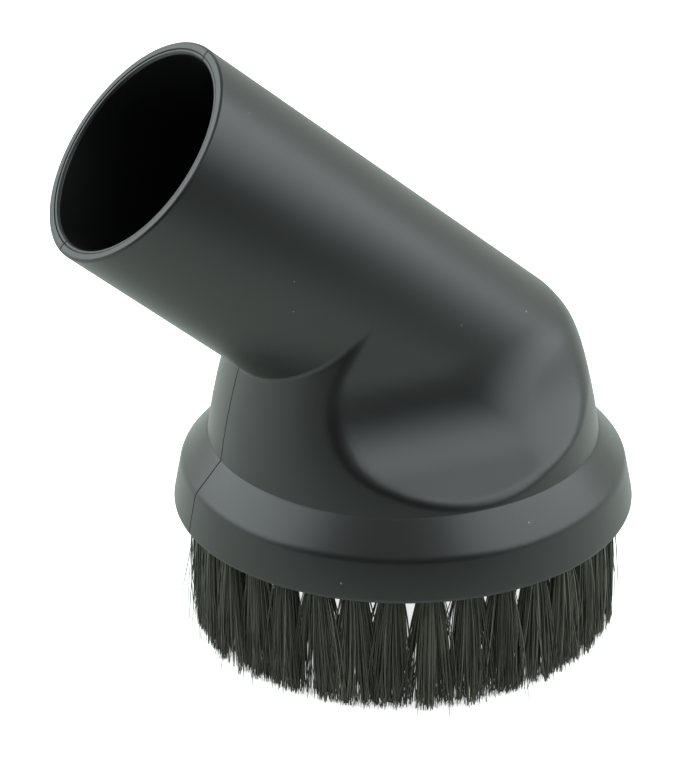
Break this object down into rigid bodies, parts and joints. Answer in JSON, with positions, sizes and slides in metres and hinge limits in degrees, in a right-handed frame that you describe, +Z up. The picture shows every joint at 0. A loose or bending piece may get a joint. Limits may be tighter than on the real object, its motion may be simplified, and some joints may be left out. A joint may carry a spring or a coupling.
{
  "type": "vacuum dusting brush",
  "caption": "Round vacuum dusting brush with an angled push-on socket, a domed bell and a ring of soft bristle tufts.",
  "frame": {"origin": "centre of the bristle ring, level with the bristle tips that it stands on", "axes": "+Z up along the bell's axis; the socket tube rises towards -X in the XZ plane; +Y across"},
  "size_m": [0.0886, 0.0702, 0.0971],
  "materials": {
    "black_plastic": "moulded satin black",
    "black_bristle": "soft black bristle",
    "anchor_wire": "flat drawn wire"
  },
  "bodies": {
    "root": {"brush_body": "black_plastic", "tuft_01": "black_bristle", "tuft_02": "black_bristle", "tuft_03": "black_bristle", "tuft_04": "black_bristle", "tuft_05": "black_bristle", "tuft_06": "black_bristle", "tuft_07": "black_bristle", "tuft_08": "black_bristle", "tuft_09": "black_bristle", "tuft_10": "black_bristle", "tuft_11": "black_bristle", "tuft_12": "black_bristle", "tuft_13": "black_bristle", "tuft_14": "black_bristle", "tuft_15": "black_bristle", "tuft_16": "black_bristle", "tuft_17": "black_bristle", "tuft_18": "black_bristle", "tuft_19": "black_bristle", "tuft_20": "black_bristle", "tuft_21": "black_bristle", "tuft_22": "black_bristle", "tuft_23": "black_bristle", "tuft_24": "black_bristle", "tuft_25": "black_bristle", "tuft_26": "black_bristle", "tuft_27": "black_bristle", "tuft_28": "black_bristle", "tuft_29": "black_bristle", "tuft_30": "black_bristle", "tuft_31": "black_bristle", "tuft_32": "black_bristle", "tuft_33": "black_bristle", "tuft_34": "black_bristle", "anchor_wires": "anchor_wire"}
  },
  "joints": []
}
